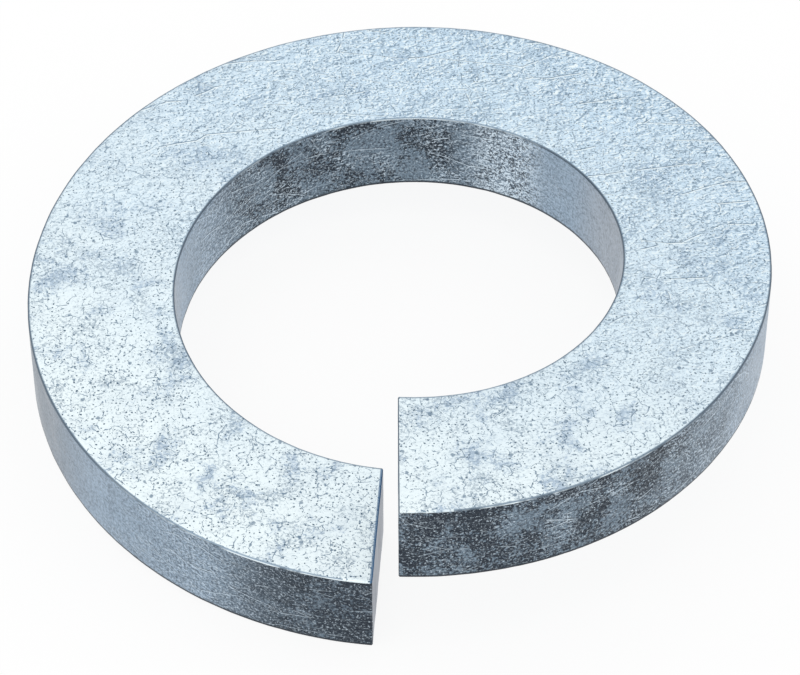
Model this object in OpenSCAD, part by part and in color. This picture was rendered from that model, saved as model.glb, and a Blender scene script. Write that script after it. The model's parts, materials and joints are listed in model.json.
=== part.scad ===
// Helical spring lock washer for a 12 mm bolt, with square cut ends.
// A steel band of rectangular section is coiled through a little less than one turn and cut through.
// Z is the bolt's axis, the low end's underside is at z = 0 and the split faces -Y.
// Millimetres and degrees throughout.

/* [Washer] */
// Diameter of the hole that the bolt goes through
bore_d = 12.2; // [8:0.1:20]
// Width of the band's section, from the bore to the rim
band_w = 4; // [2:0.1:7]
// Thickness of the band, which is the washer's height once it is screwed down flat
band_t = 2.5; // [1.5:0.1:4]
// Height of the relaxed washer, from the low end's underside to the high end's top
free_h = 5.24; // [4.5:0.02:8]
// Way in which the band climbs: a left hand coil bites under a right hand thread
coil_hand = "left"; // ["left", "right"]

/* [Split] */
// Angle between the two cut ends, seen from above
split_angle = 3.75; // [1:0.25:15]

/* [Edges] */
// Width of the break along the band's four long edges
edge_break = 0.06; // [0.02:0.02:0.3]

/* [Hidden] */
$fn = 180;
bore_r = bore_d / 2;
rim_r = bore_r + band_w;
lift = free_h - band_t;
coil_angle = 360 - split_angle;
// The coil is worked out in equal steps of about this angle
step_angle = 3;
steps = ceil(coil_angle / step_angle);
// The coil's section runs this far past the bore and the rim, and the tube trims it to true cylinders
overrun = band_t / 4;

// Corners of the coil's section as [radius, height], anticlockwise, with its 45 degree edge breaks
section = [
    [bore_r - overrun, edge_break + overrun],
    [bore_r + edge_break, 0],
    [rim_r - edge_break, 0],
    [rim_r + overrun, edge_break + overrun],
    [rim_r + overrun, band_t - edge_break - overrun],
    [rim_r - edge_break, band_t],
    [bore_r + edge_break, band_t],
    [bore_r - overrun, band_t - edge_break - overrun]
];
corners = len(section);

// A section corner after a share of the coil, which turns clockwise seen from above as it climbs
function on_coil(share, corner) =
    let (turned = -90 - split_angle - coil_angle * share)
    [corner[0] * cos(turned), corner[0] * sin(turned), corner[1] + lift * share];

// The band between one step and the next, as two triangles for each side of the section
function coil_side(i) = [
    for (j = [0:corners - 1])
        let (here = i * corners, next = here + corners, k = (j + 1) % corners)
        each [[here + j, next + j, next + k], [here + j, next + k, here + k]]
];

module coil() {
    points = [for (i = [0:steps]) each [for (corner = section) on_coil(i / steps, corner)]];
    low_end = [for (j = [0:corners - 1]) j];
    high_end = [for (j = [corners - 1:-1:0]) steps * corners + j];
    sides = [for (i = [0:steps - 1]) each coil_side(i)];
    polyhedron(points, concat([low_end, high_end], sides));
}

module tube() {
    difference() {
        cylinder(h = free_h, r = rim_r);
        translate([0, 0, -overrun]) cylinder(h = free_h + 2 * overrun, r = bore_r);
    }
}

module spring_washer() {
    color("lightsteelblue")
    mirror([coil_hand == "right" ? 1 : 0, 0, 0])
    intersection() {
        tube();
        coil();
    }
}

spring_washer();
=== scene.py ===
import json
import math

import bpy
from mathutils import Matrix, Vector


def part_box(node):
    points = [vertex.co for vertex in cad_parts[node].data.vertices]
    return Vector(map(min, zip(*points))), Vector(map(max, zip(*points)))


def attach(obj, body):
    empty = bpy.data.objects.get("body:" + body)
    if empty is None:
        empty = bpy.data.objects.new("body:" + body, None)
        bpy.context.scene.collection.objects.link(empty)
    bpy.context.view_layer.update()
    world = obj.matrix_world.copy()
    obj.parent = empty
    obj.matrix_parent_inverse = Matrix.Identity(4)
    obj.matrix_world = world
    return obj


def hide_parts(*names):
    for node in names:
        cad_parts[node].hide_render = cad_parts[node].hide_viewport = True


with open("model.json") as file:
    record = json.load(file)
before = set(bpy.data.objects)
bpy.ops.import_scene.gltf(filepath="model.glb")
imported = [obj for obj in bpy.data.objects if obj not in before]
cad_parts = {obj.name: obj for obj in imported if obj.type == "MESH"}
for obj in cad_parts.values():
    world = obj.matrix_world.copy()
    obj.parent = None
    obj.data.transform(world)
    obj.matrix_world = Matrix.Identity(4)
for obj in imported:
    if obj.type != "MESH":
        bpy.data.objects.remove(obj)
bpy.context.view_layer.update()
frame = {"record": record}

mm = 0.001

# The washer's place and sizes come from the frame, apart from the thickness of its section
boxLow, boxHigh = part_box("spring_washer")
boreMount = next(mount for mount in frame["record"]["mounts"] if mount["name"] == "bore")
boreRadius = boreMount["dims"]["r_mm"] * mm
rimRadius = boxHigh.x
bandThickness = 2.5 * mm
bandLift = boxHigh.z - boxLow.z - bandThickness
print("frame loaded: rim radius", round(rimRadius / mm, 2), "mm, lift", round(bandLift / mm, 2), "mm")


# Modelling helpers

def deselectAll():
    for thing in bpy.context.selected_objects:
        thing.select_set(False)


def pickOnly(thing):
    deselectAll()
    bpy.context.view_layer.objects.active = thing
    thing.select_set(True)


def editFrom(thing):
    pickOnly(thing)
    bpy.ops.object.mode_set(mode="EDIT")
    bpy.ops.mesh.select_all(action="DESELECT")
    bpy.ops.object.mode_set(mode="OBJECT")


def editPicked(pickMode):
    bpy.ops.object.mode_set(mode="EDIT")
    bpy.context.tool_settings.mesh_select_mode = [pickMode == name for name in ("VERT", "EDGE", "FACE")]


def backToObject():
    bpy.ops.mesh.select_all(action="DESELECT")
    bpy.ops.object.mode_set(mode="OBJECT")


def applyAll(thing):
    pickOnly(thing)
    for modifier in list(thing.modifiers):
        bpy.ops.object.modifier_apply(modifier=modifier.name)


# The coiled band: a section with rounded corners, carried round and up by a screw

band = {
    "splitAngle": math.radians(3.75),
    "edgeBreak": 0.040 * mm,      # along the four long edges
    "edgeSegments": 2,            # a strip next to the bearing face and one next to the wall
    "cutBreak": 0.028 * mm,       # round the two cut faces
    "faceCuts": 36,               # across the bearing faces, for the relief
    "wallCuts": 22,               # up the bore and the rim
    "turnSteps": 600,
    "hammerSize": 0.9 * mm,       # broad, shallow unevenness left by coiling
    "hammerDepth": 0.012 * mm,
    "crinkleSize": 0.22 * mm,
    "crinkleDepth": 0.005 * mm,
}


def roundedSection():
    middle = (boreRadius + rimRadius) / 2
    deselectAll()
    centre = (middle, 0, boxLow.z + bandThickness / 2)
    bpy.ops.mesh.primitive_plane_add(size=1, location=centre, rotation=(math.pi / 2, 0, 0))
    section = bpy.context.object
    section.name = "coiled_band"
    section.scale = (rimRadius - boreRadius, bandThickness, 1)
    bpy.ops.object.transform_apply(location=True, rotation=True, scale=True)
    editPicked("VERT")
    bpy.ops.mesh.select_all(action="SELECT")
    bpy.ops.mesh.bevel(offset=band["edgeBreak"], segments=band["edgeSegments"], affect="VERTICES")
    bpy.ops.mesh.delete(type="ONLY_FACE")
    backToObject()
    for along, cuts in ((0, band["faceCuts"]), (2, band["wallCuts"])):   # 0 runs across the band, 2 up it
        verts = section.data.vertices
        for edge in section.data.edges:
            start, end = (verts[i].co for i in edge.vertices)
            edge.select = abs(start[along] - end[along]) > bandThickness / 2
        editPicked("EDGE")
        bpy.ops.mesh.subdivide(number_cuts=cuts)
        backToObject()
    return section


def cutDirections():
    # The low end's angle, and the sweep to the high end; each cut face stands out by its own break
    breakTurn = band["cutBreak"] / ((boreRadius + rimRadius) / 2)
    lowAngle = -math.pi / 2 - band["splitAngle"] - breakTurn
    sweep = 2 * math.pi - band["splitAngle"] - 2 * breakTurn
    return lowAngle, sweep


def closeEnd(thing, angle, outward):
    # Fills one open end of the coil, then insets the face and pushes it out, which breaks its edges
    across = Vector((-math.sin(angle), math.cos(angle), 0))
    along = Vector((math.cos(angle), math.sin(angle), 0))
    slack = 0.001 * mm   # a point this near to the cut's plane lies in it
    for vert in thing.data.vertices:
        vert.select = abs(vert.co.dot(across)) < slack and vert.co.dot(along) > 0
    editPicked("VERT")
    bpy.ops.mesh.edge_face_add()
    bpy.ops.mesh.inset(thickness=band["cutBreak"], depth=0)
    push = across * outward * band["cutBreak"]
    bpy.ops.transform.translate(value=push)
    backToObject()


def coilBand():
    washer = roundedSection()
    lowAngle, sweep = cutDirections()
    washer.rotation_euler = (0, 0, lowAngle)
    bpy.ops.object.transform_apply(location=True, rotation=True, scale=True)
    coil = washer.modifiers.new("coil", "SCREW")
    coil.axis = "Z"
    coil.angle = -sweep                 # clockwise from above as it climbs: a left hand coil
    coil.screw_offset = bandLift
    coil.steps = coil.render_steps = band["turnSteps"]
    applyAll(washer)
    editFrom(washer)
    closeEnd(washer, lowAngle, 1)
    closeEnd(washer, lowAngle - sweep, -1)
    editPicked("FACE")
    bpy.ops.mesh.select_all(action="SELECT")
    bpy.ops.mesh.normals_make_consistent(inside=False)
    backToObject()
    return washer


def sinkRelief(thing):
    # Real unevenness in the mesh: broad hammered waves, then the crinkled coating
    hammer = bpy.data.textures.new("hammeredWaves", "CLOUDS")
    hammer.noise_scale = band["hammerSize"]
    hammer.noise_depth = 2
    crinkle = bpy.data.textures.new("crinkledCoat", "STUCCI")
    crinkle.noise_scale = band["crinkleSize"]
    crinkle.turbulence = 8
    for texture, depth in ((hammer, band["hammerDepth"]), (crinkle, band["crinkleDepth"])):
        relief = thing.modifiers.new(texture.name, "DISPLACE")
        relief.texture = texture
        relief.texture_coords = "LOCAL"
        relief.strength = depth
        relief.mid_level = 0.5
    applyAll(thing)


washer = coilBand()
sinkRelief(washer)
coilHeight = round(washer.dimensions.z / mm, 3)
print("band coiled:", len(washer.data.vertices), "vertices, height", coilHeight, "mm")


# Shader helpers

def addNode(tree, kind, settings=None, sockets=None):
    made = tree.nodes.new(kind)
    for key, value in (settings or {}).items():
        setattr(made, key, value)
    for key, value in (sockets or {}).items():
        if isinstance(value, bpy.types.NodeSocket):
            tree.links.new(value, made.inputs[key])
        else:
            made.inputs[key].default_value = value
    return made


def maths(tree, operation, first, second=0.0, third=0.0, clamp=False):
    settings = {"operation": operation, "use_clamp": clamp}
    return addNode(tree, "ShaderNodeMath", settings, {0: first, 1: second, 2: third}).outputs[0]


def times(tree, first, second):
    return maths(tree, "MULTIPLY", first, second)


def between(tree, share, atZero, atOne):
    # Goes evenly from one value to the other as share goes from 0 to 1
    return maths(tree, "MULTIPLY_ADD", share, atOne - atZero, atZero)


def vectors(tree, operation, sockets, output=0):
    return addNode(tree, "ShaderNodeVectorMath", {"operation": operation}, sockets).outputs[output]


def ramp(tree, value, low, high, start=0.0, end=1.0):
    # Smooth step of value from low to high
    settings = {"interpolation_type": "SMOOTHSTEP"}
    sockets = {"Value": value, "From Min": low, "From Max": high, "To Min": start, "To Max": end}
    return addNode(tree, "ShaderNodeMapRange", settings, sockets).outputs["Result"]


def mixColour(tree, share, first, second):
    # Its colour sockets are 6, 7 and 2, after those for single values and vectors
    return addNode(tree, "ShaderNodeMix", {"data_type": "RGBA"}, {0: share, 6: first, 7: second}).outputs[2]


def noise(tree, vector, scale, detail=3.0, roughness=0.55, distortion=0.0, output="Fac"):
    sockets = {"Vector": vector, "Scale": scale, "Detail": detail}
    sockets.update({"Roughness": roughness, "Distortion": distortion})
    return addNode(tree, "ShaderNodeTexNoise", None, sockets).outputs[output]


def shifted(tree, vector, offset, turn=(0, 0, 0), scale=(1, 1, 1)):
    # An offset picks another part of a pattern, so that two patterns of one kind don't fall together
    sockets = {"Vector": vector, "Location": offset, "Rotation": turn, "Scale": scale}
    return addNode(tree, "ShaderNodeMapping", None, sockets).outputs[0]


def wobble(tree, vector, scale):
    # A noise of directions, centred on zero
    push = noise(tree, vector, scale, 2, output="Color")
    return vectors(tree, "SUBTRACT", {0: push, 1: (0.5, 0.5, 0.5)})


def newGroup(name, inputs, outputs):
    tree = bpy.data.node_groups.new(name, "ShaderNodeTree")
    for socket, default in inputs.items():
        kind = "NodeSocketVector" if default is None else "NodeSocketFloat"
        made = tree.interface.new_socket(name=socket, in_out="INPUT", socket_type=kind)
        if default is not None:
            made.default_value = default
    for socket in outputs:
        tree.interface.new_socket(name=socket, in_out="OUTPUT", socket_type="NodeSocketFloat")
    given = tree.nodes.new("NodeGroupInput").outputs
    result = tree.nodes.new("NodeGroupOutput").inputs
    return tree, given, result


groups = {}


def useGroup(tree, name, at, **sizes):
    sockets = {"Vector": at, **sizes}
    return addNode(tree, "ShaderNodeGroup", {"node_tree": groups[name]}, sockets).outputs


# Node groups; every vector comes in as millimetres

def cloudGroup():
    # Soft cloudy patches in the zinc
    sizes = {"Vector": None, "Density": 0.5, "Low": 0.45, "High": 0.65}
    tree, given, result = newGroup("zincClouds", sizes, ["Mask"])
    wide = noise(tree, given["Vector"], given["Density"], 6, 0.62, 0.5)
    tree.links.new(ramp(tree, wide, given["Low"], given["High"]), result["Mask"])
    return tree


def speckGroup():
    # Tiny pits, each of its own size and slightly out of round, in a share of the cells of a flat pattern
    sizes = {"Vector": None, "Density": 5.0, "Size": 0.2, "Share": 0.6}
    tree, given, result = newGroup("pitSpecks", sizes, ["Mask"])
    push = wobble(tree, given["Vector"], 7.0)
    place = vectors(tree, "MULTIPLY_ADD", {0: push, 1: (0.10, 0.10, 0.10), 2: given["Vector"]})
    sockets = {"Vector": place, "Scale": given["Density"]}
    cells = addNode(tree, "ShaderNodeTexVoronoi", {"voronoi_dimensions": "2D"}, sockets)
    parts = addNode(tree, "ShaderNodeSeparateColor", None, {0: cells.outputs["Color"]}).outputs
    present = maths(tree, "LESS_THAN", parts[0], given["Share"])
    reach = times(tree, given["Size"], between(tree, parts[1], 0.35, 1.25))
    inside = ramp(tree, cells.outputs["Distance"], reach, times(tree, reach, 0.55))
    tree.links.new(times(tree, inside, present), result["Mask"])
    return tree


def scratchGroup():
    # Thin wandering lines: the warped edges of large flat cells, broken up by a noise
    sizes = {"Vector": None, "Density": 1.2, "Width": 0.016, "Share": 0.4, "Bend": 0.4}
    tree, given, result = newGroup("scratchLines", sizes, ["Mask"])
    push = wobble(tree, given["Vector"], times(tree, given["Density"], 1.3))
    bend = maths(tree, "DIVIDE", given["Bend"], given["Density"])
    bent = vectors(tree, "SCALE", {0: push, "Scale": bend})
    place = vectors(tree, "ADD", {0: bent, 1: given["Vector"]})
    settings = {"voronoi_dimensions": "2D", "feature": "DISTANCE_TO_EDGE"}
    edges = addNode(tree, "ShaderNodeTexVoronoi", settings, {"Vector": place, "Scale": given["Density"]})
    line = ramp(tree, edges.outputs["Distance"], given["Width"], times(tree, given["Width"], 0.4))
    apart = times(tree, given["Density"], 1.9)
    breaks = noise(tree, shifted(tree, given["Vector"], (7.3, 2.1, 4.4)), apart, 2)
    full = maths(tree, "SUBTRACT", 1.04, given["Share"])
    kept = ramp(tree, breaks, maths(tree, "SUBTRACT", 1.0, given["Share"]), full)
    tree.links.new(times(tree, line, kept), result["Mask"])
    return tree


def straightLines(tree, at, **sizes):
    # Scratches that run along X: only what is also there a little further on, which drops the cross strokes
    here = useGroup(tree, "scratches", at, **sizes)[0]
    further = useGroup(tree, "scratches", shifted(tree, at, (0.022, 0, 0)), **sizes)[0]
    return maths(tree, "MINIMUM", here, further)


def stippleGroup():
    # Fine stipple that crowds together inside the cloudy patches and thins out between them
    sizes = {"Vector": None, "Density": 8.0, "Spread": 0.7, "Threshold": 0.6, "Pull": 0.3, "Softness": 0.05}
    tree, given, result = newGroup("stippledStain", sizes, ["Mask", "Cloud"])
    wide = noise(tree, given["Vector"], given["Spread"], 5, 0.62, 0.4)
    fine = noise(tree, shifted(tree, given["Vector"], (1.7, 8.2, 3.9)), given["Density"], 4, 0.6, 0.5)
    pulled = maths(tree, "MULTIPLY_ADD", maths(tree, "SUBTRACT", wide, 0.5), given["Pull"], fine)
    full = maths(tree, "ADD", given["Threshold"], given["Softness"])
    tree.links.new(ramp(tree, pulled, given["Threshold"], full), result["Mask"])
    tree.links.new(wide, result["Cloud"])
    return tree


def crinkleGroup():
    # Foil-like crinkles: sharp wandering ridges over a soft swell
    tree, given, result = newGroup("foilCrinkle", {"Vector": None, "Density": 3.0}, ["Height"])
    soft = noise(tree, given["Vector"], times(tree, given["Density"], 0.8), 3, 0.6, 0.6)
    fine = times(tree, given["Density"], 1.3)
    ridges = noise(tree, shifted(tree, given["Vector"], (3.1, 5.7, 1.9)), fine, 2, 0.5, 1.2)
    ridges = maths(tree, "ABSOLUTE", maths(tree, "SUBTRACT", ridges, 0.5))
    tree.links.new(maths(tree, "MULTIPLY_ADD", ridges, -2.0, soft), result["Height"])
    return tree


def reliefGroup():
    # Which way the crinkles slope, as painted light and shade: 0.5 is level, the slopes facing the given
    # way are painted lighter
    sizes = {"Vector": None, "Density": 3.0, "Gain": 1.0}
    tree, given, result = newGroup("reliefTone", sizes, ["Tone", "Height"])
    nextTo = shifted(tree, given["Vector"], (0.035, -0.035, -0.02))
    here = useGroup(tree, "crinkle", given["Vector"], Density=given["Density"])[0]
    beside = useGroup(tree, "crinkle", nextTo, Density=given["Density"])[0]
    fall = maths(tree, "SUBTRACT", here, beside)
    tree.links.new(maths(tree, "MULTIPLY_ADD", fall, given["Gain"], 0.5, clamp=True), result["Tone"])
    tree.links.new(here, result["Height"])
    return tree


groups["clouds"] = cloudGroup()
groups["specks"] = speckGroup()
groups["scratches"] = scratchGroup()
groups["stipple"] = stippleGroup()
groups["crinkle"] = crinkleGroup()
groups["relief"] = reliefGroup()
print("node groups made")


# Materials

def newMaterial(name):
    material = bpy.data.materials.new(name)
    material.use_nodes = True
    tree = material.node_tree
    tree.nodes.clear()
    shader = addNode(tree, "ShaderNodeBsdfPrincipled")
    output = addNode(tree, "ShaderNodeOutputMaterial")
    tree.links.new(shader.outputs[0], output.inputs[0])
    place = addNode(tree, "ShaderNodeTexCoord").outputs["Object"]
    millimetres = shifted(tree, place, (0, 0, 0), scale=(1 / mm, 1 / mm, 1 / mm))
    return material, tree, shader, millimetres


def bumpFrom(tree, shader, height, depth):
    made = addNode(tree, "ShaderNodeBump", None, {"Height": height, "Distance": depth})
    tree.links.new(made.outputs[0], shader.inputs["Normal"])


def flattened(tree, at):
    # The place without its height
    return shifted(tree, at, (0, 0, 0), scale=(1, 1, 0))


def sideways(tree, at, turn=0.0):
    # 0 at the split and opposite it, 1 at the washer's two sides
    outward = vectors(tree, "NORMALIZE", {0: flattened(tree, at)})
    reach = vectors(tree, "DOT_PRODUCT", {0: outward, 1: (math.cos(turn), math.sin(turn), 0)}, "Value")
    return maths(tree, "ABSOLUTE", reach)


def atFront(tree, at):
    # 1 on the half of the washer that holds the split
    return maths(tree, "LESS_THAN", addNode(tree, "ShaderNodeSeparateXYZ", None, {0: at}).outputs["Y"], 0.0)


faceZinc = {
    # painted highlight on lit slopes and on the lit side of raised scratches
    "paintedHighlight": (0.90, 0.985, 1.0, 1),
    "pale": (0.88, 0.975, 1.0, 1),
    "paintedBlueReflection": (0.60, 0.765, 0.905, 1),       # a painted reflection: the bluer tone towards the back right
    "cloud": (0.295, 0.41, 0.56, 1),
    # colour of hairlines and marks, also used for painted shade on slopes and along the edges
    "markAndShade": (0.155, 0.235, 0.325, 1),
    "pit": (0.088, 0.145, 0.205, 1),
    "driftAngle": math.radians(60),       # the way in which the painted reflection drifts, from +X towards +Y
    "marginReach": (0.075, 0.050),        # a margin's line starts and is full, millimetres from the edge
    "seamReach": (0.050, 0.028),          # the same for the dark blue line, from where the cut's break starts
    "cloudShare": 0.20,
    "stainShare": 0.60,
    "hairShare": 0.90,
    "nickShare": 0.85,
    "blotShare": 0.75,
    "marginShare": 0.65,
    "seamShare": 0.80,
    "longTurn": math.radians(-14),        # turn of the long scratches from the X axis
    "hatchTurn": math.radians(35),
    "roughness": 0.36,
    "crinkleDepth": 0.012 * mm,
}


def paintedLightDrift(tree, at):
    # 0 at the front left of the washer, 1 at its back right; it carries a painted reflection, paler front
    # left and bluer back right
    turned = shifted(tree, at, (0, 0, 0), turn=(0, 0, -faceZinc["driftAngle"]))
    along = addNode(tree, "ShaderNodeSeparateXYZ", None, {0: turned}).outputs["X"]
    wander = noise(tree, at, 0.35, 3)
    reach = rimRadius / mm
    return ramp(tree, maths(tree, "MULTIPLY_ADD", wander, reach, along), -0.6 * reach, 1.6 * reach)


def edgeMargins(tree, at):
    # Thin painted shade lines along the two edges of a bearing face; the outer one fades out near the split
    radius = vectors(tree, "LENGTH", {0: flattened(tree, at)}, "Value")
    far, near = faceZinc["marginReach"]
    inner = ramp(tree, radius, boreRadius / mm + far, boreRadius / mm + near)
    outer = ramp(tree, radius, rimRadius / mm - far, rimRadius / mm - near)
    fading = times(tree, ramp(tree, sideways(tree, at), 0.30, 0.12), atFront(tree, at))
    outer = times(tree, outer, maths(tree, "SUBTRACT", 1.0, fading))
    return maths(tree, "MAXIMUM", inner, outer)


def blueLine(tree, at):
    # A dark blue line painted on the bearing face, along the low end's cut
    lowAngle = cutDirections()[0]
    across = (-math.sin(lowAngle), math.cos(lowAngle), 0)
    distance = maths(tree, "ABSOLUTE", vectors(tree, "DOT_PRODUCT", {0: at, 1: across}, "Value"))
    return times(tree, ramp(tree, distance, *faceZinc["seamReach"]), atFront(tree, at))


def faceMaterial():
    material, tree, shader, at = newMaterial("pale_zinc")
    zinc = faceZinc
    drift = paintedLightDrift(tree, at)
    slopeShadeStrength = between(tree, drift, 0.10, 0.90)
    plain = between(tree, drift, 1.0, 0.70)
    clouded = between(tree, drift, 1.0, 0.45)
    late = ramp(tree, drift, 0.35, 0.70)

    # Cloudy patches and the stipple that gathers in them
    broad = useGroup(tree, "clouds", shifted(tree, at, (9, 4, 2)), Density=0.5, Low=0.47, High=0.68)[0]
    stainSizes = {"Density": 11.0, "Spread": 0.75, "Threshold": 0.62, "Pull": 1.5, "Softness": 0.14}
    stain = useGroup(tree, "stipple", at, **stainSizes)
    cloud = ramp(tree, stain["Cloud"], 0.52, 0.66)
    grainsAt = shifted(tree, at, (3, 3, 7))
    grains = useGroup(tree, "stipple", grainsAt, Density=13.0, Spread=0.9, Threshold=0.56, Pull=0.55)[0]
    grit = times(tree, grains, between(tree, drift, 0.50, 0.26))
    # Painted reflection: pale at the front left, going to a bluer tone at the back right
    colour = mixColour(tree, drift, zinc["pale"], zinc["paintedBlueReflection"])
    colour = mixColour(tree, times(tree, broad, times(tree, clouded, 0.12)), colour, zinc["cloud"])
    fogged = times(tree, cloud, times(tree, clouded, zinc["cloudShare"]))
    colour = mixColour(tree, fogged, colour, zinc["cloud"])
    stained = times(tree, stain["Mask"], times(tree, clouded, zinc["stainShare"]))
    colour = mixColour(tree, stained, colour, zinc["cloud"])

    # Foil-like relief, painted into the colour as shade and highlight, stronger towards the back right
    foil = shifted(tree, at, (0, 0, 0), scale=(0.85, 1.15, 1))
    relief = useGroup(tree, "relief", foil, Density=4.1, Gain=1.7)
    shaded = times(tree, ramp(tree, relief["Tone"], 0.46, 0.10, 0.0, 0.80), slopeShadeStrength)
    lit = times(tree, ramp(tree, relief["Tone"], 0.54, 0.90), slopeShadeStrength)
    colour = mixColour(tree, shaded, colour, zinc["markAndShade"])
    colour = mixColour(tree, lit, colour, zinc["paintedHighlight"])
    colour = mixColour(tree, grit, colour, zinc["markAndShade"])

    # Hairlines, hatching in the clouds, nicks, and long raised scratches with a painted highlight on their
    # lit side
    hairs = useGroup(tree, "scratches", at, Density=2.8, Width=0.045, Share=0.50, Bend=0.9)[0]
    hatchAt = shifted(tree, at, (2, 6, 0), turn=(0, 0, zinc["hatchTurn"]), scale=(0.6, 1.1, 1))
    hatching = useGroup(tree, "scratches", hatchAt, Density=4.2, Width=0.06, Share=0.56, Bend=0.4)[0]
    hatching = times(tree, hatching, ramp(tree, stain["Cloud"], 0.50, 0.60, 0.0, 0.55))
    nicksAt = shifted(tree, at, (5, 8, 0))
    nicks = useGroup(tree, "scratches", nicksAt, Density=0.9, Width=0.014, Share=0.42, Bend=0.35)[0]
    longAt = shifted(tree, at, (0, 0, 0), turn=(0, 0, zinc["longTurn"]), scale=(0.35, 1.1, 1))
    longSizes = {"Density": 0.9, "Width": 0.019, "Share": 0.52, "Bend": 0.12}
    longs = straightLines(tree, longAt, **longSizes)
    raised = straightLines(tree, shifted(tree, longAt, (0.0, 0.038, 0)), **longSizes)
    sunk = times(tree, longs, late)
    haired = times(tree, hairs, times(tree, plain, zinc["hairShare"]))
    colour = mixColour(tree, haired, colour, zinc["markAndShade"])
    colour = mixColour(tree, times(tree, hatching, clouded), colour, zinc["markAndShade"])
    colour = mixColour(tree, times(tree, nicks, zinc["nickShare"]), colour, zinc["markAndShade"])
    colour = mixColour(tree, sunk, colour, zinc["markAndShade"])
    # painted highlight along the lit side of the raised scratches
    colour = mixColour(tree, times(tree, raised, late), colour, zinc["paintedHighlight"])

    # Pits of two sizes, then the painted shade lines along the margins
    crowd = ramp(tree, noise(tree, shifted(tree, at, (1, 9, 5)), 0.7, 3), 0.38, 0.60, 0.32, 0.92)
    specks = useGroup(tree, "specks", at, Density=7.0, Size=0.19, Share=crowd)[0]
    blots = useGroup(tree, "specks", shifted(tree, at, (6, 2, 5)), Density=1.5, Size=0.09, Share=0.5)[0]
    colour = mixColour(tree, times(tree, specks, plain), colour, zinc["pit"])
    colour = mixColour(tree, times(tree, blots, zinc["blotShare"]), colour, zinc["markAndShade"])
    margins = times(tree, edgeMargins(tree, at), zinc["marginShare"])
    colour = mixColour(tree, margins, colour, zinc["markAndShade"])
    seam = times(tree, blueLine(tree, at), zinc["seamShare"])
    colour = mixColour(tree, seam, colour, edgeZinc["seam"])

    tree.links.new(colour, shader.inputs["Base Color"])
    shader.inputs["Metallic"].default_value = 1.0
    roughness = maths(tree, "MULTIPLY_ADD", stain["Mask"], 0.15, zinc["roughness"])
    tree.links.new(roughness, shader.inputs["Roughness"])
    height = times(tree, relief["Height"], between(tree, drift, 0.2, 1.0))
    height = maths(tree, "MULTIPLY_ADD", specks, -0.4, height)
    height = maths(tree, "MULTIPLY_ADD", hairs, -0.2, height)
    height = maths(tree, "MULTIPLY_ADD", sunk, -0.3, height)
    bumpFrom(tree, shader, height, zinc["crinkleDepth"])
    return material


wallZinc = {
    "charcoal": (0.033, 0.044, 0.060, 1),
    "steel": (0.205, 0.275, 0.345, 1),
    # painted reflection towards the two sides
    "slate": (0.37, 0.48, 0.60, 1),
    "rimSideReflection": (0.29, 0.34, 0.395, 1),     # painted reflection: the warmer grey at the very sides, on the rim
    "boreSideReflection": (0.41, 0.47, 0.545, 1),    # and in the bore
    # painted glints and highlights
    "glint": (0.72, 0.84, 0.94, 1),
    "darkTurn": math.radians(14),         # turn of the lengths painted dark as shade from the split's axis
    "gleamTurn": math.radians(3),         # and of the painted gleam
    "foilTurn": math.radians(20),
    "fleckShare": 0.55,
    "sideFleckShare": 0.28,               # at the two sides
    "cutShade": 0.34,                     # painted shade, darker towards the low end's cut
    "sideGlintShare": 0.35,               # painted glinting points towards the two sides
    "gleamFleckShare": 0.80,
    "grainDensity": 14.0,
    "underLine": (0.115, 0.075),          # a painted shade line: starts and is full, millimetres above the lower edge
    "roughness": 0.42,
    "crinkleDepth": 0.022 * mm,
}


def unrolled(tree, at):
    # The wall laid flat; the seam falls in the split
    parts = addNode(tree, "ShaderNodeSeparateXYZ", None, {0: at}).outputs
    radius = vectors(tree, "LENGTH", {0: flattened(tree, at)}, "Value")
    turn = maths(tree, "ARCTAN2", parts["X"], parts["Y"])
    climbed = maths(tree, "SUBTRACT", maths(tree, "ADD", turn, math.pi), band["splitAngle"])
    pitch = bandLift / mm / (2 * math.pi - band["splitAngle"])
    height = maths(tree, "MULTIPLY_ADD", climbed, -pitch, parts["Z"])
    sockets = {"X": times(tree, turn, radius), "Y": height}
    along = addNode(tree, "ShaderNodeCombineXYZ", None, sockets).outputs[0]
    middle = (boreRadius + rimRadius) / 2 / mm
    return {
        "along": along,                                          # length round the wall, height
        "height": height,                                        # above the coil's underside
        "climbed": climbed,                                      # angle from the low end
        "back": parts["Y"],
        "inBore": maths(tree, "LESS_THAN", radius, middle),
    }


def crossedScratches(tree, along):
    # Two sets of straight raised scratches that cross each other: their dark sides as painted shade and
    # their lit sides as painted highlights
    sides = []
    for offset in (0, 0.030):
        sets = []
        for turn, place in ((-32, (0, 0, 0)), (24, (4, 3, 0))):
            tilted = shifted(tree, along, place, turn=(0, 0, math.radians(turn)), scale=(0.32, 1.0, 1))
            beside = shifted(tree, tilted, (0, offset, 0))
            sets.append(straightLines(tree, beside, Density=1.4, Width=0.020, Share=0.54, Bend=0.12))
        sides.append(maths(tree, "MAXIMUM", sets[0], sets[1]))
    return sides


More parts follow.
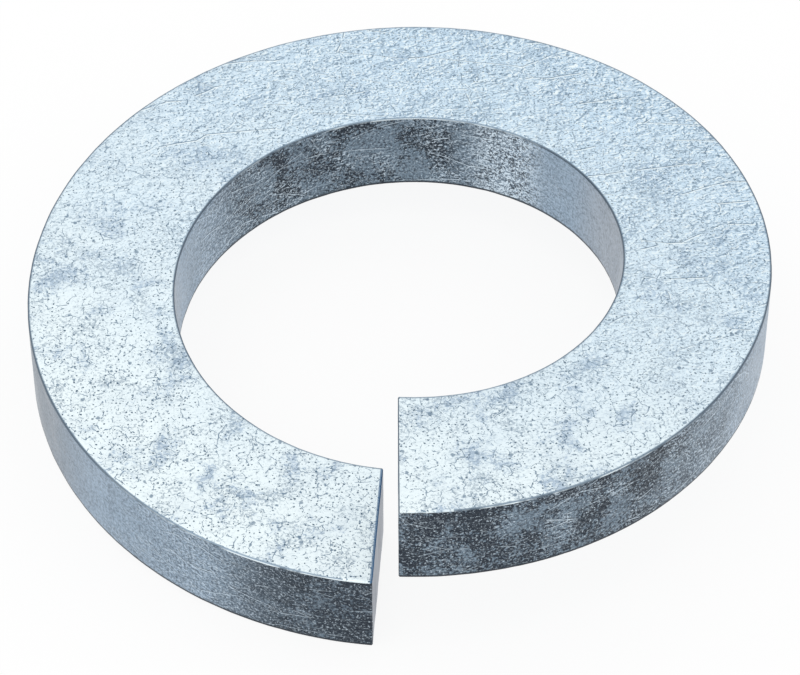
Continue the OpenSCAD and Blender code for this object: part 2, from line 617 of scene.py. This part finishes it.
def wallMaterial():
    material, tree, shader, at = newMaterial("dark_zinc")
    zinc = wallZinc
    wall = unrolled(tree, at)
    # Painted light: the wall is painted dark at the front and the back as shade, and lighter towards the
    # two sides as reflection
    side = sideways(tree, at, zinc["darkTurn"])
    wander = noise(tree, shifted(tree, at, (2, 5, 1)), 0.5, 4, 0.6, 0.5)
    aside = ramp(tree, maths(tree, "MULTIPLY_ADD", wander, 0.6, side), 0.68, 1.15)
    rough = maths(tree, "SUBTRACT", 1.0, aside, clamp=True)
    nearCut = ramp(tree, wall["climbed"], 0.65, 0.20)
    nearHigh = ramp(tree, wall["climbed"], 2 * math.pi - 0.42, 2 * math.pi - 0.22)
    quiet = maths(tree, "MAXIMUM", nearCut, nearHigh)
    flank = times(tree, ramp(tree, side, 0.35, 0.55), ramp(tree, side, 0.85, 0.70))
    # where the painted slope light and shade show: in patches, and stronger on the flanks
    paintedLight = ramp(tree, noise(tree, shifted(tree, at, (8, 3, 3)), 0.8, 3), 0.45, 0.62, 0.15, 1.0)
    paintedLight = maths(tree, "MULTIPLY_ADD", flank, 0.7, paintedLight, clamp=True)

    # Charcoal and steel islands, with flecks
    bias = maths(tree, "MULTIPLY_ADD", wall["back"], -0.004, 0.44)
    # painted shade: more charcoal towards the low end's cut
    bias = maths(tree, "MULTIPLY_ADD", nearCut, 0.06, bias)
    islandsAt = shifted(tree, at, (3, 7, 1))
    sizes = {"Density": 12.0, "Spread": 0.8, "Threshold": bias, "Pull": 1.1, "Softness": 0.09}
    islands = useGroup(tree, "stipple", islandsAt, **sizes)["Mask"]
    flecksAt = shifted(tree, at, (4, 1, 6))
    flecks = useGroup(tree, "stipple", flecksAt, Density=13.0, Spread=1.6, Threshold=0.53, Pull=0.4)[0]
    colour = mixColour(tree, islands, zinc["charcoal"], zinc["steel"])
    colour = mixColour(tree, times(tree, flecks, zinc["fleckShare"]), colour, zinc["charcoal"])

    # Crinkled relief as painted light: painted shade on dark slopes, painted highlights on lit slopes and
    # glinting points
    foil = shifted(tree, wall["along"], (2, 6, 3), turn=(0, 0, zinc["foilTurn"]), scale=(0.9, 1.15, 1))
    relief = useGroup(tree, "relief", foil, Density=5.4, Gain=1.6)
    glints = useGroup(tree, "specks", wall["along"], Density=9.0, Size=0.17, Share=0.7)[0]
    dim = times(tree, ramp(tree, relief["Tone"], 0.46, 0.10, 0.0, 0.6), paintedLight)
    lit = times(tree, ramp(tree, relief["Tone"], 0.56, 0.90, 0.0, 0.75), paintedLight)
    lit = times(tree, lit, between(tree, quiet, 1.0, 0.35))
    colour = mixColour(tree, dim, colour, zinc["charcoal"])
    colour = mixColour(tree, lit, colour, zinc["glint"])
    sparks = times(tree, glints, between(tree, quiet, 0.7, 0.5))
    colour = mixColour(tree, sparks, colour, zinc["glint"])
    # painted shade towards the low end's cut
    colour = mixColour(tree, times(tree, nearCut, zinc["cutShade"]), colour, zinc["charcoal"])

    # Painted reflection: the lengths at the two sides painted lighter and smoother, with a faint version of
    # the same relief
    sideReflection = mixColour(tree, wall["inBore"], zinc["rimSideReflection"], zinc["boreSideReflection"])
    paintedSideLight = mixColour(tree, ramp(tree, side, 0.40, 0.75), zinc["steel"], zinc["slate"])
    paintedSideLight = mixColour(tree, ramp(tree, side, 0.91, 1.01), paintedSideLight, sideReflection)
    brushed = noise(tree, shifted(tree, wall["along"], (0, 0, 0), scale=(9, 7, 1)), 1.0, 4, 0.65)
    paintedSideLight = mixColour(tree, ramp(tree, brushed, 0.45, 0.70, 0.0, 0.32), paintedSideLight, zinc["charcoal"])
    level = ramp(tree, side, 1.0, 0.70)
    reach = times(tree, level, paintedLight)
    faint = times(tree, reach, aside)
    paintedSideLight = mixColour(tree, times(tree, flecks, zinc["sideFleckShare"]), paintedSideLight, zinc["charcoal"])
    colour = mixColour(tree, aside, colour, paintedSideLight)
    dim = times(tree, ramp(tree, relief["Tone"], 0.46, 0.10, 0.0, 0.4), faint)
    lit = times(tree, ramp(tree, relief["Tone"], 0.55, 0.90, 0.0, 0.6), faint)
    colour = mixColour(tree, dim, colour, zinc["charcoal"])
    colour = mixColour(tree, lit, colour, zinc["glint"])
    sideGlints = times(tree, glints, times(tree, reach, zinc["sideGlintShare"]))
    colour = mixColour(tree, sideGlints, colour, zinc["glint"])

    # The finest grain, dark and light, weaker at the wall's very sides
    grain = noise(tree, shifted(tree, wall["along"], (5, 1, 0)), zinc["grainDensity"], 2)
    shown = between(tree, level, 0.25, 1.0)
    dim = times(tree, ramp(tree, grain, 0.51, 0.58, 0.0, 0.45), shown)
    lit = times(tree, ramp(tree, grain, 0.42, 0.34, 0.0, 0.50), shown)
    lit = times(tree, lit, between(tree, islands, 1.0, 0.35))
    colour = mixColour(tree, dim, colour, zinc["charcoal"])
    colour = mixColour(tree, lit, colour, zinc["glint"])

    # A painted gleam: a strongly speckled, painted highlight along a length of the bore, on the high end's
    # half
    toSide = sideways(tree, at, zinc["gleamTurn"])
    gleam = times(tree, ramp(tree, toSide, 0.35, 0.50), ramp(tree, toSide, 0.74, 0.60))
    gleam = times(tree, gleam, wall["inBore"])
    gleam = times(tree, gleam, ramp(tree, wall["climbed"], 3.0, 3.3))
    sparkle = times(tree, ramp(tree, relief["Tone"], 0.45, 0.56, 0.05, 0.95), gleam)
    colour = mixColour(tree, sparkle, colour, zinc["glint"])
    gleamFlecks = times(tree, flecks, times(tree, gleam, zinc["gleamFleckShare"]))
    colour = mixColour(tree, gleamFlecks, colour, zinc["charcoal"])

    # Straight scratches with painted shade and highlight, and a painted shade line along the lower edge
    dashes, glows = crossedScratches(tree, wall["along"])
    scratchShade = times(tree, dashes, between(tree, level, 0.2, 0.6))
    scratchLight = times(tree, level, between(tree, paintedLight, 0.4, 1.0))
    scratchLight = times(tree, scratchLight, between(tree, quiet, 1.0, 0.5))
    colour = mixColour(tree, scratchShade, colour, zinc["charcoal"])
    colour = mixColour(tree, times(tree, glows, scratchLight), colour, zinc["glint"])
    # painted shade along the lower edge
    underLine = ramp(tree, wall["height"], *zinc["underLine"], 0.0, 0.9)
    colour = mixColour(tree, underLine, colour, zinc["charcoal"])

    tree.links.new(colour, shader.inputs["Base Color"])
    shader.inputs["Metallic"].default_value = 1.0
    roughness = maths(tree, "MULTIPLY_ADD", islands, -0.08, zinc["roughness"])
    tree.links.new(roughness, shader.inputs["Roughness"])
    swell = times(tree, relief["Height"], between(tree, rough, 0.15, 1.0))
    bumpFrom(tree, shader, swell, zinc["crinkleDepth"])
    return material


edgeZinc = {
    # Edge tones: painted shade lines, a grey tone and a painted highlight on the narrow breaks, painted
    # shade under the lower edges, and the dark blue of the low end's cut
    "line": (0.12, 0.16, 0.205, 1),
    "grey": (0.26, 0.34, 0.42, 1),
    "paintedLight": (0.85, 0.95, 1.0, 1),
    "underShade": (0.02, 0.024, 0.03, 1),
    "seam": (0.055, 0.145, 0.28, 1),
    "roughness": 0.38,
    "crinkleDepth": 0.006 * mm,
}


def edgeMaterial(name, frontTone, patchLow, patchHigh):
    # Painted edge light: painted shade, dark, along the washer's sides; another painted tone, in patches,
    # at the front and the back
    material, tree, shader, at = newMaterial(name)
    aside = ramp(tree, sideways(tree, at), 0.45, 0.85)
    frontPatches = useGroup(tree, "clouds", at, Density=0.8, Low=patchLow, High=patchHigh)[0]
    share = times(tree, frontPatches, maths(tree, "SUBTRACT", 1.0, aside, clamp=True))
    colour = mixColour(tree, share, edgeZinc["line"], edgeZinc[frontTone])
    tree.links.new(colour, shader.inputs["Base Color"])
    shader.inputs["Metallic"].default_value = 1.0
    shader.inputs["Roughness"].default_value = edgeZinc["roughness"]
    crinkle = useGroup(tree, "crinkle", at, Density=4.0)[0]
    bumpFrom(tree, shader, crinkle, edgeZinc["crinkleDepth"])
    return material


cutZinc = {
    "plain": (0.36, 0.385, 0.43, 1),
    "streak": (0.22, 0.25, 0.30, 1),
    "speckShare": 0.4,
    "roughness": 0.4,
    "grooveDepth": 0.010 * mm,
}


def cutMaterial():
    material, tree, shader, at = newMaterial("cut_zinc")
    streaks = noise(tree, shifted(tree, at, (0, 0, 0), scale=(9, 9, 0.6)), 1.0, 3)
    specks = useGroup(tree, "specks", at, Density=6.0, Size=0.2, Share=0.4)[0]
    colour = mixColour(tree, ramp(tree, streaks, 0.45, 0.7), cutZinc["plain"], cutZinc["streak"])
    colour = mixColour(tree, times(tree, specks, cutZinc["speckShare"]), colour, wallZinc["charcoal"])
    tree.links.new(colour, shader.inputs["Base Color"])
    shader.inputs["Metallic"].default_value = 1.0
    roughness = maths(tree, "MULTIPLY_ADD", streaks, 0.1, cutZinc["roughness"])
    tree.links.new(roughness, shader.inputs["Roughness"])
    bumpFrom(tree, shader, streaks, cutZinc["grooveDepth"])
    return material


dressing = {
    "square": 0.98,             # how squarely a face must look up, out or along to count as flat
    "leaning": 0.3,             # how far a break must look along the coil to belong to a cut
    "steep": 0.7,               # breaks that look up less than this are next to a wall
    "plainEdge": 1.4 * mm,      # to each side of the split, the rim's upper edge has the face's finish
    "smoothAngle": math.radians(38),
}


def finishOf(polygon):
    # The finish of one polygon of the band, from where it is and the way it looks
    outward = Vector((polygon.center.x, polygon.center.y, 0)).normalized()
    around = Vector((-outward.y, outward.x, 0))
    up = polygon.normal.z
    along = polygon.normal.dot(around)
    frontEdge = polygon.center.y < -(boreRadius + rimRadius) / 2
    if abs(up) > dressing["square"]:
        return "face"
    if abs(polygon.normal.dot(outward)) > dressing["square"]:
        return "wall"
    if abs(along) > dressing["square"]:
        return "cut"
    if abs(along) > dressing["leaning"]:
        if abs(up) < dressing["leaning"]:
            return "wall"
        return "lowCut" if along > 0 else "highCut"
    if up > 0 and frontEdge and abs(polygon.center.x) < dressing["plainEdge"]:
        return "face"
    if up < 0:
        return "underStrip"
    return "lowerStrip" if 0 < up < dressing["steep"] else "upperStrip"


def dressWasher(thing):
    finishes = {
        "upperStrip": edgeMaterial("edge_zinc", "grey", patchLow=0.30, patchHigh=0.50),
        "lowerStrip": edgeMaterial("highlit_zinc", "paintedLight", patchLow=0.40, patchHigh=0.55),
        "underStrip": edgeMaterial("under_shade_zinc", "underShade", patchLow=0.20, patchHigh=0.30),
        "lowCut": edgeMaterial("seam_zinc", "seam", patchLow=0.0, patchHigh=0.2),
        "highCut": edgeMaterial("lined_zinc", "line", patchLow=0.0, patchHigh=0.2),
        "face": faceMaterial(),
        "wall": wallMaterial(),
        "cut": cutMaterial(),
    }
    slots = ["face", "wall", "upperStrip", "cut", "lowerStrip", "underStrip", "lowCut", "highCut"]
    for name in slots:
        thing.data.materials.append(finishes[name])
    for polygon in thing.data.polygons:
        polygon.material_index = slots.index(finishOf(polygon))
    pickOnly(thing)
    bpy.ops.object.shade_smooth_by_angle(angle=dressing["smoothAngle"])
    weigh = thing.modifiers.new("weighFaces", "WEIGHTED_NORMAL")
    weigh.keep_sharp = True
    applyAll(thing)


dressWasher(washer)
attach(washer, "root")
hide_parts("spring_washer")
print("washer dressed")


# Floor, light and camera

studio = {
    "floorSize": 3.0,
    "floorColour": (0.93, 0.93, 0.93, 1),
    "floorWhite": 0.88,                 # share of plain white that the floor shows besides its lit colour
    "worldColour": (1.0, 1.0, 1.0, 1),
    "softboxSize": 0.28,
    "softboxPlace": (-0.14, -0.02, 0.40),
    "softboxPower": 0.18,
}


def makeFloor():
    deselectAll()
    bpy.ops.mesh.primitive_plane_add(size=studio["floorSize"], location=(0, 0, 0))
    floor = bpy.context.object
    floor.name = "floor"
    material = bpy.data.materials.new("pale_floor")
    material.use_nodes = True
    tree = material.node_tree
    tree.nodes.clear()
    lit = addNode(tree, "ShaderNodeBsdfDiffuse", None, {"Color": studio["floorColour"]}).outputs[0]
    plain = addNode(tree, "ShaderNodeEmission", None, {"Color": (1, 1, 1, 1), "Strength": 1.0}).outputs[0]
    rays = addNode(tree, "ShaderNodeLightPath").outputs
    seen = maths(tree, "MAXIMUM", rays["Is Camera Ray"], rays["Is Glossy Ray"])
    seen = maths(tree, "MAXIMUM", seen, rays["Is Transmission Ray"])
    share = times(tree, seen, studio["floorWhite"])
    mixed = addNode(tree, "ShaderNodeMixShader", None, {0: share, 1: lit, 2: plain}).outputs[0]
    addNode(tree, "ShaderNodeOutputMaterial", None, {0: mixed})
    floor.data.materials.append(material)


def makeLight():
    world = bpy.data.worlds.new("studio")
    world.use_nodes = True
    world.node_tree.nodes["Background"].inputs["Color"].default_value = studio["worldColour"]
    bpy.context.scene.world = world
    lamp = bpy.data.lights.new("softbox", "AREA")
    lamp.shape = "SQUARE"
    lamp.size = studio["softboxSize"]
    lamp.energy = studio["softboxPower"]
    softbox = bpy.data.objects.new("softbox", lamp)
    softbox.location = studio["softboxPlace"]
    softbox.rotation_euler = (-Vector(studio["softboxPlace"])).to_track_quat("-Z", "Y").to_euler()
    softbox.visible_camera = False
    bpy.context.scene.collection.objects.link(softbox)


photoView = {
    "elevation": math.radians(45.42),
    "azimuth": math.radians(-0.105),
    "distance": 100.33 * mm,
    "lens": 164.4,
    "sensor": 36,
    "nearest": 5 * mm,
    "right": 0.061 * mm,
    "up": -0.911 * mm,
}


def makeCamera():
    lens = bpy.data.cameras.new("photoCamera")
    lens.lens = photoView["lens"]
    lens.sensor_width = photoView["sensor"]
    lens.clip_start = photoView["nearest"]
    camera = bpy.data.objects.new("photoCamera", lens)
    camera.rotation_euler = (math.pi / 2 - photoView["elevation"], 0, photoView["azimuth"])
    turned = camera.rotation_euler.to_matrix()
    centre = Vector((0, 0, bandThickness))
    camera.location = centre + turned @ Vector((photoView["right"], photoView["up"], photoView["distance"]))
    bpy.context.scene.collection.objects.link(camera)
    bpy.context.scene.camera = camera


makeFloor()
makeLight()
makeCamera()
bpy.context.scene.view_settings.view_transform = "Standard"
print("studio ready")
